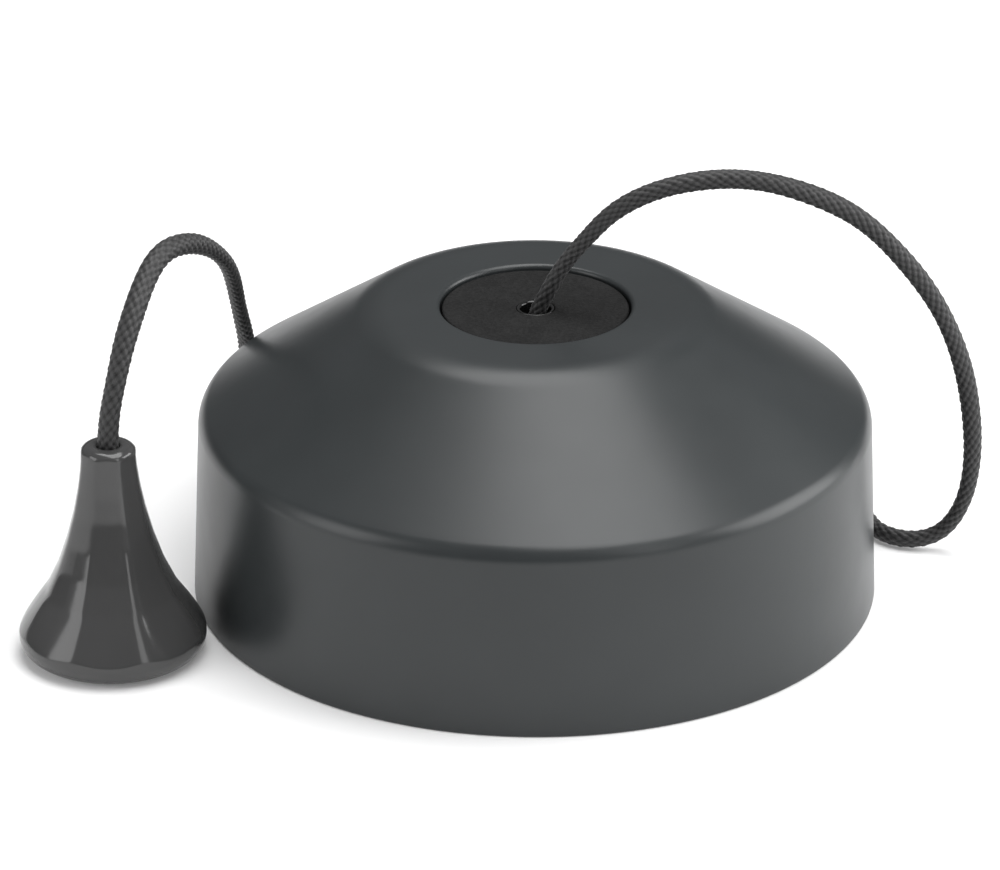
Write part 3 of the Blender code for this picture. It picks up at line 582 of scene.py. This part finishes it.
def bell_levels():
    """Heights of the rings outside, from the collar down to the rim, closest where the side curves."""
    quarter = np.linspace(0.05, math.pi / 2, 10)
    upper = [BELL_HEIGHT - BELL_COLLAR_ROUND * (1 - math.cos(a)) for a in quarter]
    middle = list(np.arange(27.2, 5.4, -0.25)) + list(np.arange(5.35, BELL_RIM_ROUND, -0.06))
    lower = [BELL_RIM_ROUND * (1 - math.sin(a)) for a in np.linspace(0.0, math.pi / 2, 14)]
    return upper + middle + lower


def make_bell():
    """The pull: eight flared facets that fade into a turned collar and rim, hollow below."""
    angles = np.linspace(0, 2 * np.pi, BELL_SIDES, endpoint=False)
    pitch = 2 * np.pi / BELL_FACETS
    off = np.abs((angles + np.pi / 2 + pitch / 2) % pitch - pitch / 2)
    off = pitch / 2 - np.hypot(pitch / 2 - off, math.radians(BELL_RIDGE))
    rows = []

    def ring(radii, height):
        x = BELL_CENTRE[0] + radii * np.cos(angles)
        y = BELL_CENTRE[1] + radii * np.sin(angles)
        rows.append(np.stack([x, y, np.full(BELL_SIDES, height)], axis=1))

    for radius, height in ((BELL_BORE, 28.2), (1.5, 28.45), (1.7, BELL_HEIGHT), (2.1, BELL_HEIGHT)):
        ring(np.full(BELL_SIDES, radius), height)
    for height in bell_levels():
        # The facets are half as strong at the rim as they are further up.
        flat = 0.5 + 0.5 * min(1.0, max(0.0, (height - 3.5) / 6.0))
        facet = bell_reach(height) * (1 + flat * (1 / np.cos(off) - 1))
        limit = min(bell_limit(height), BELL_RIM)
        ring(-BELL_BLEND * np.logaddexp(-facet / BELL_BLEND, -limit / BELL_BLEND), height)
    for radius, height in closer(BELL_HOLLOW, 0.6, closed=False):
        ring(np.full(BELL_SIDES, radius), height)
    bell = surface("bell", rows, wrap_rows=True)
    bell.data.set_sharp_from_angle(angle=math.radians(50))
    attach(bell, "bell")
    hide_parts("bell_pull")
    return finish_with(bell, "gloss_grey")


# ---------------------------------------------------------------- cord

STRANDS = 8
STRAND_PITCH = 11.4
CORD_SIDES = 40
CORD_STEP = 0.2
COIL_STEP = 0.4
CORD_RADIUS = CORD_DIAMETER / 2
BRAID_DEPTH = 0.36
# How full the braid is at each distance along it, in millimetres: pulled thin at the bush,
# pressed flat on the table, and loose near the bell.
LEAD_FULLNESS = [(0, 0.85), (28, 0.85), (40, 1.0), (98, 1.0), (110, 0.86), (128, 0.86), (150, 1.0)]
TAIL_FULLNESS = [(1322, 0.87), (1352, 0.9), (1366, 1.12), (1386, 1.13), (1394, 1.07)]
# Nothing of the cord's surface is lower than this.
CORD_LOWEST = 0.02


def strand_height(u, v):
    """How high the upper strand stands, from 0 in a hollow to 1 on its back, in a plain braid."""
    across_u = 2 * (u - np.floor(u)) - 1
    across_v = 2 * (v - np.floor(v)) - 1
    over = np.where((np.floor(u) + np.floor(v)) % 2 == 0, 1.0, -1.0)
    back_u = np.sqrt(np.clip(1 - (0.98 * across_u) ** 2, 0, 1)) * 0.5
    back_v = np.sqrt(np.clip(1 - (0.98 * across_v) ** 2, 0, 1)) * 0.5
    wave_u = over * np.cos(np.pi * across_v / 2) * 0.5
    wave_v = -over * np.cos(np.pi * across_u / 2) * 0.5
    return np.clip(np.maximum(back_u + wave_u, back_v + wave_v), 0, 1)


def tube_rows(line, reach, angle, side, up):
    """Rings of points round a line, at a distance from it that may differ for each point."""
    wide = reach[:, :, None] * np.cos(angle)[None, :, None] * side[:, None, :]
    tall = reach[:, :, None] * np.sin(angle)[None, :, None] * up[:, None, :]
    return line[:, None, :] + wide + tall


def directions(line):
    """The unit direction of the line at each of its points."""
    ahead = np.gradient(line, axis=0)
    return ahead / np.linalg.norm(ahead, axis=1)[:, None]


def braid_rows(line, along, radius, depth):
    """Rings of a braided cord along a line, with each point's strand coordinates."""
    ahead = directions(line)
    side = np.zeros_like(line)
    side[0] = np.cross(ahead[0], (0, 1, 0))
    side[0] /= np.linalg.norm(side[0])
    for k in range(1, len(line)):
        moved = side[k - 1] - ahead[k] * side[k - 1].dot(ahead[k])
        side[k] = moved / np.linalg.norm(moved)
    up = np.cross(ahead, side)
    turns = np.arange(CORD_SIDES + 1) / CORD_SIDES
    u = STRANDS * (turns[None, :] - along[:, None] / STRAND_PITCH)
    v = STRANDS * (turns[None, :] + along[:, None] / STRAND_PITCH)
    rise = strand_height(u[:, :-1], v[:, :-1])
    angle = 2 * np.pi * turns[:-1]
    flat = 0.05 * np.sin(along / 7.3) + 0.04 * np.sin(along / 2.9 + 1)
    oval = 1 + flat[:, None] * np.cos(2 * (angle[None, :] - along[:, None] / 23))
    reach = (radius - depth * (1 - rise)) * oval
    reach[0] = reach[-1] = 0.02
    return tube_rows(line, reach, angle, side, up), (u, v), rise


def mark_rise(obj, rise):
    """Stores how high each point stands in the braid; the shader paints shade into the hollows with it.
    """
    depth = obj.data.attributes.new("rise", "FLOAT", "POINT")
    # Painted shade: the hollows get values down to 0.1, which darken the braid's colour there.
    depth.data.foreach_set("value", (0.1 + 0.9 * rise).astype(np.float32).ravel())


def make_cord():
    """The whole cord as one braid, with its centreline and its length in millimetres."""
    line, marks = cord_line()
    along = line_length(line)
    coil_from, coil_to = along[marks[1]], along[marks[2]]
    steps = [
        np.arange(0, coil_from, CORD_STEP),
        np.arange(coil_from, coil_to, COIL_STEP),
        np.arange(coil_to, along[-1], CORD_STEP),
    ]
    at = np.concatenate(steps)
    path = np.stack([np.interp(at, along, line[:, k]) for k in range(3)], axis=1)
    fullness = np.interp(at, *zip(*LEAD_FULLNESS, (coil_to, 1.0), *TAIL_FULLNESS))
    rows, corners, rise = braid_rows(path, at, CORD_RADIUS * 1.03 * fullness[:, None], BRAID_DEPTH)
    rows[:, :, 2] = np.maximum(rows[:, :, 2], CORD_LOWEST)
    cord = surface("cord_braid", rows, corners=corners)
    mark_rise(cord, rise)
    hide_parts("cord_stub", "cord_lead", "cord_coil", "cord_tail")
    finish_with(cord, "charcoal_braid")
    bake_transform(cord)
    return cord, path, along[-1]


# A knot's line is a trefoil: a second wave of this share, the whole scaled down to fit its radius.
KNOT_WAVE = 1.15
KNOT_SCALE = 0.62
KNOT_TRIM = 1.35
KNOT_POINTS = 220
KNOT_OVERLAP = 12
# The cord's thickness in a knot, as a share of its free thickness, and the depth of its braid there.
KNOT_SQUEEZE = 0.9
KNOT_DEPTH = 0.25


def make_knot(name, body, replaced, centre, radius, half_height, lean):
    """A tight overhand knot: the braid wound over and under itself, turned by lean."""
    turns = np.linspace(0, 2 * np.pi, KNOT_POINTS, endpoint=False)
    wide = (radius - CORD_RADIUS * 0.92) * KNOT_SCALE
    x = wide * (np.sin(turns) + KNOT_WAVE * np.sin(2 * turns)) / KNOT_TRIM
    y = wide * (np.cos(turns) - KNOT_WAVE * np.cos(2 * turns)) / KNOT_TRIM
    z = -(half_height - CORD_RADIUS * KNOT_SQUEEZE) * np.sin(3 * turns)
    path = np.stack([x, y, z], axis=1)
    cos, sin = math.cos(lean), math.sin(lean)
    path = path @ np.array([[cos, -sin, 0], [sin, cos, 0], [0, 0, 1]]) + np.array(centre)
    path = np.concatenate([path, path[:KNOT_OVERLAP]])
    along = line_length(path)
    rows, corners, rise = braid_rows(path, along, CORD_RADIUS * KNOT_SQUEEZE, KNOT_DEPTH)
    knot = surface(name, rows, corners=corners)
    mark_rise(knot, rise)
    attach(knot, body)
    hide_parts(replaced)
    return finish_with(knot, "charcoal_braid")


SPRING_RADIUS = 5.2
SPRING_WIRE = 0.4
SPRING_FOOT = 25.1
SPRING_HEAD = 34.3
SPRING_TURNS = 5
SPRING_STEPS = 60
SPRING_SIDES = 16


def make_spring():
    """The return spring: a wire coil whose foot is at the plunger and whose head stays under the neck's
    roof.
    """
    part = np.linspace(0, 1, SPRING_TURNS * SPRING_STEPS + 1)
    turn = 2 * np.pi * SPRING_TURNS * part
    outward = np.stack([np.cos(turn), np.sin(turn), 0 * turn], axis=1)
    line = SPRING_RADIUS * outward
    line[:, 2] = SPRING_FOOT + (SPRING_HEAD - SPRING_FOOT) * part
    up = np.cross(directions(line), outward)
    angle = np.linspace(0, 2 * np.pi, SPRING_SIDES, endpoint=False)
    reach = np.full((len(part), 1), SPRING_WIRE)
    reach[0] = reach[-1] = 0.01
    spring = surface("spring_wire", tube_rows(line, reach, angle, outward, up))
    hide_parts("plunger_spring")
    finish_with(spring, "spring_steel")
    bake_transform(spring)


# The tie's section: across the band, and outward from the coil.
TIE_SECTION = [
    (-2.0, 0), (-1.8, 0.28), (-0.5, 0.28), (0, 0.5), (0.5, 0.28),
    (1.8, 0.28), (2.0, 0), (1.8, -0.05), (-1.8, -0.05),
]
TWIST_RINGS = 60
TWIST_SIDES = 12
TWIST_TURNS = 3.5


def make_tie():
    """A flat plastic tie over the coil, with its ends twisted together on top."""
    inner, outer, low, top = 10.75, 19.3, 0.1, 10.75
    path = rounded([(inner, low), (inner, top, 1.2), (outer, top, 1.2), (outer, low)], steps=6)
    path = closer(path, 0.8, closed=False)
    rows = []
    for k, (r, z) in enumerate(path):
        a = path[max(0, k - 1)]
        b = path[min(len(path) - 1, k + 1)]
        length = math.dist(a, b)
        normal = (-(b[1] - a[1]) / length, (b[0] - a[0]) / length)
        ring = []
        for x, t in TIE_SECTION:
            ring.append((x, COIL_CENTRE[1] + r + normal[0] * t, z + normal[1] * t))
        rows.append(ring)
    tie = surface("coil_tie_band", rows)
    twist = []
    for k in range(TWIST_RINGS):
        s = k / (TWIST_RINGS - 1)
        wound = 2 * np.pi * TWIST_TURNS * s
        centre = np.array([0.2 + 7.5 * s, COIL_CENTRE[1] + 15.0 + 1.5 * s, 11.75 + 0.5 * s])
        ring = []
        for j in range(TWIST_SIDES):
            a = 2 * np.pi * j / TWIST_SIDES
            lobe = 0.42 + 0.22 * math.cos(2 * (a - wound))
            ring.append(centre + lobe * np.array([0, math.cos(a), math.sin(a)]))
        twist.append(ring)
    ends = surface("coil_tie_twist", twist)
    for piece in (tie, ends):
        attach(piece, "base")
        finish_with(piece, "black_moulding")
    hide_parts("coil_tie")
    return [tie, ends]


# ---------------------------------------------------------------- studio


FLOOR_REACH = 3.0
# The floor lies a hair below the ceiling face, so that the two don't share a plane.
FLOOR_DROP = 0.00005
# Each light's name, place, target, width and depth, and power.
LIGHTS = [
    ("top_box", (0.09, 0.04, 0.75), (0.03, 0, 0.02), (0.92, 0.5), 6.5),
    ("left_box", (-0.52, -0.22, 0.24), (-0.02, 0, 0.01), (0.3, 0.4), 1.0),
    ("right_box", (0.5, 0.02, 0.22), (0, 0, 0.01), (0.45, 0.35), 2.3),
    ("front_strip", (0.33, -0.43, 0.28), (-0.05, -0.02, 0.01), (0.15, 0.45), 0.42),
]
# Brightness between the horizon and overhead: the height of the direction, and its grey.
WORLD_STOPS = [(0.15, 0.24), (0.42, 0.74), (0.7, 0.6)]
WORLD_STRENGTH = 0.34


def area_light(name, place, target, size, power):
    """A rectangular soft box that faces its target."""
    lamp = bpy.data.lights.new(name, "AREA")
    lamp.shape = "RECTANGLE"
    lamp.size, lamp.size_y = size
    lamp.energy = power
    obj = bpy.data.objects.new(name, lamp)
    scene.collection.objects.link(obj)
    obj.location = place
    obj.rotation_euler = (Vector(target) - Vector(place)).to_track_quat("-Z", "Y").to_euler()


def make_world():
    """The room's light: it grows from dark at the horizon to bright overhead."""
    world = bpy.data.worlds.new("studio")
    scene.world = world
    world.use_nodes = True
    tree = world.node_tree
    background = tree.nodes["Background"]
    place = tree.nodes.new("ShaderNodeTexCoord")
    parts = tree.nodes.new("ShaderNodeSeparateXYZ")
    ramp = tree.nodes.new("ShaderNodeValToRGB")
    tree.links.new(place.outputs["Generated"], parts.inputs[0])
    tree.links.new(parts.outputs["Z"], ramp.inputs["Fac"])
    tree.links.new(ramp.outputs["Color"], background.inputs["Color"])
    stops = ramp.color_ramp.elements
    stops[0].position, stops[0].color = 0.0, (0.12, 0.12, 0.125, 1)
    stops[1].position, stops[1].color = 1.0, (0.9, 0.9, 0.9, 1)
    for position, value in WORLD_STOPS:
        stop = stops.new(position)
        stop.color = (value, value, value * 1.02, 1)
    background.inputs["Strength"].default_value = WORLD_STRENGTH


def make_studio():
    """The white table, the room's light and the soft boxes."""
    mesh = bpy.data.meshes.new("floor")
    sides = ((-1, -1), (1, -1), (1, 1), (-1, 1))
    mesh.from_pydata([(x * FLOOR_REACH, y * FLOOR_REACH, 0) for x, y in sides], [], [(0, 1, 2, 3)])
    floor = bpy.data.objects.new("floor", mesh)
    scene.collection.objects.link(floor)
    floor.location.z = -FLOOR_DROP
    mesh.materials.append(floor_paper())
    make_world()
    for light in LIGHTS:
        area_light(*light)
    scene.view_settings.view_transform = "Standard"
    scene.view_settings.look = "None"
    scene.view_settings.exposure = 0.0


finish_frame()
make_cover()
make_disc()
make_bush()
bell = make_bell()
cord, cord_path, cord_reach = make_cord()
inner_knot = make_knot("knot_in_plunger", "pull", "inner_knot", (0, 0, 24.8), 2.5, 1.5, 0.4)
make_spring()
bell_knot = make_knot("knot_in_bell", "base", "bell_knot", (*BELL_CENTRE, 15.1), 2.6, 1.85, 1.2)
tie_pieces = make_tie()
make_studio()

print("cord length", round(cord_reach, 1), "mm")
